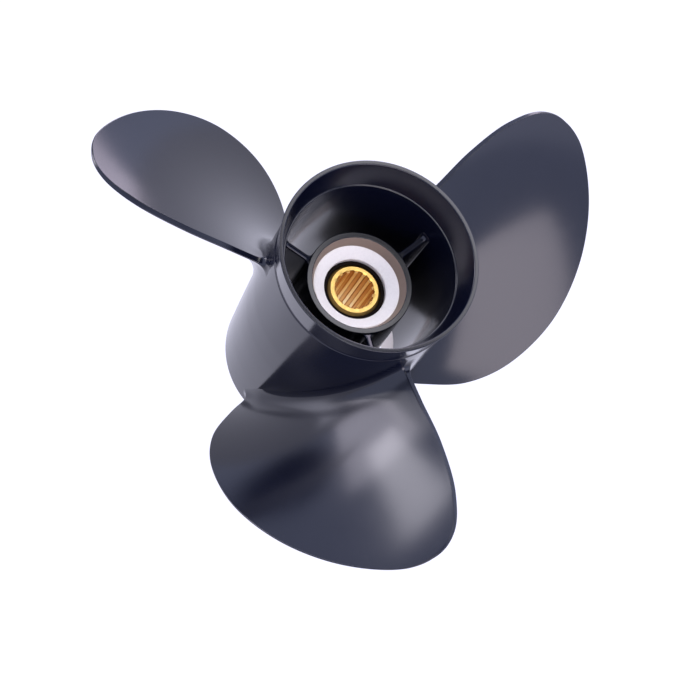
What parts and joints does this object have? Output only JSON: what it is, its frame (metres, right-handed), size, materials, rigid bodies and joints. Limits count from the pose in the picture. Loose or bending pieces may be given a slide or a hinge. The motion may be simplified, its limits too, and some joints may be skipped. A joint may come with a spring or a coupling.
{
  "type": "outboard boat propeller",
  "caption": "Right-hand boat propeller with wide raked blades on a hollow exhaust barrel with a flared aft ring, and a brass splined sleeve bonded in rubber.",
  "frame": {"origin": "on the shaft axis, level with the middle of the blades' roots, within 2 mm of the centre of mass", "axes": "+Z along the shaft to the aft end, +X along the first blade's middle line; seen from +Z the blades drive clockwise"},
  "size_m": [0.2856, 0.299, 0.1575],
  "materials": {
    "painted_casting": "satin-gloss near-black paint over cast aluminium",
    "machined_casting": "machined seat, cast elsewhere",
    "bushing_rubber": "matt black",
    "sleeve_brass": "turned and broached"
  },
  "bodies": {
    "root": {"barrel": "painted_casting", "blade_1": "painted_casting", "blade_2": "painted_casting", "blade_3": "painted_casting", "rib_1": "painted_casting", "rib_2": "painted_casting", "rib_3": "painted_casting", "inner_hub": "machined_casting", "rubber_bushing": "bushing_rubber", "splined_sleeve": "sleeve_brass"}
  },
  "joints": []
}
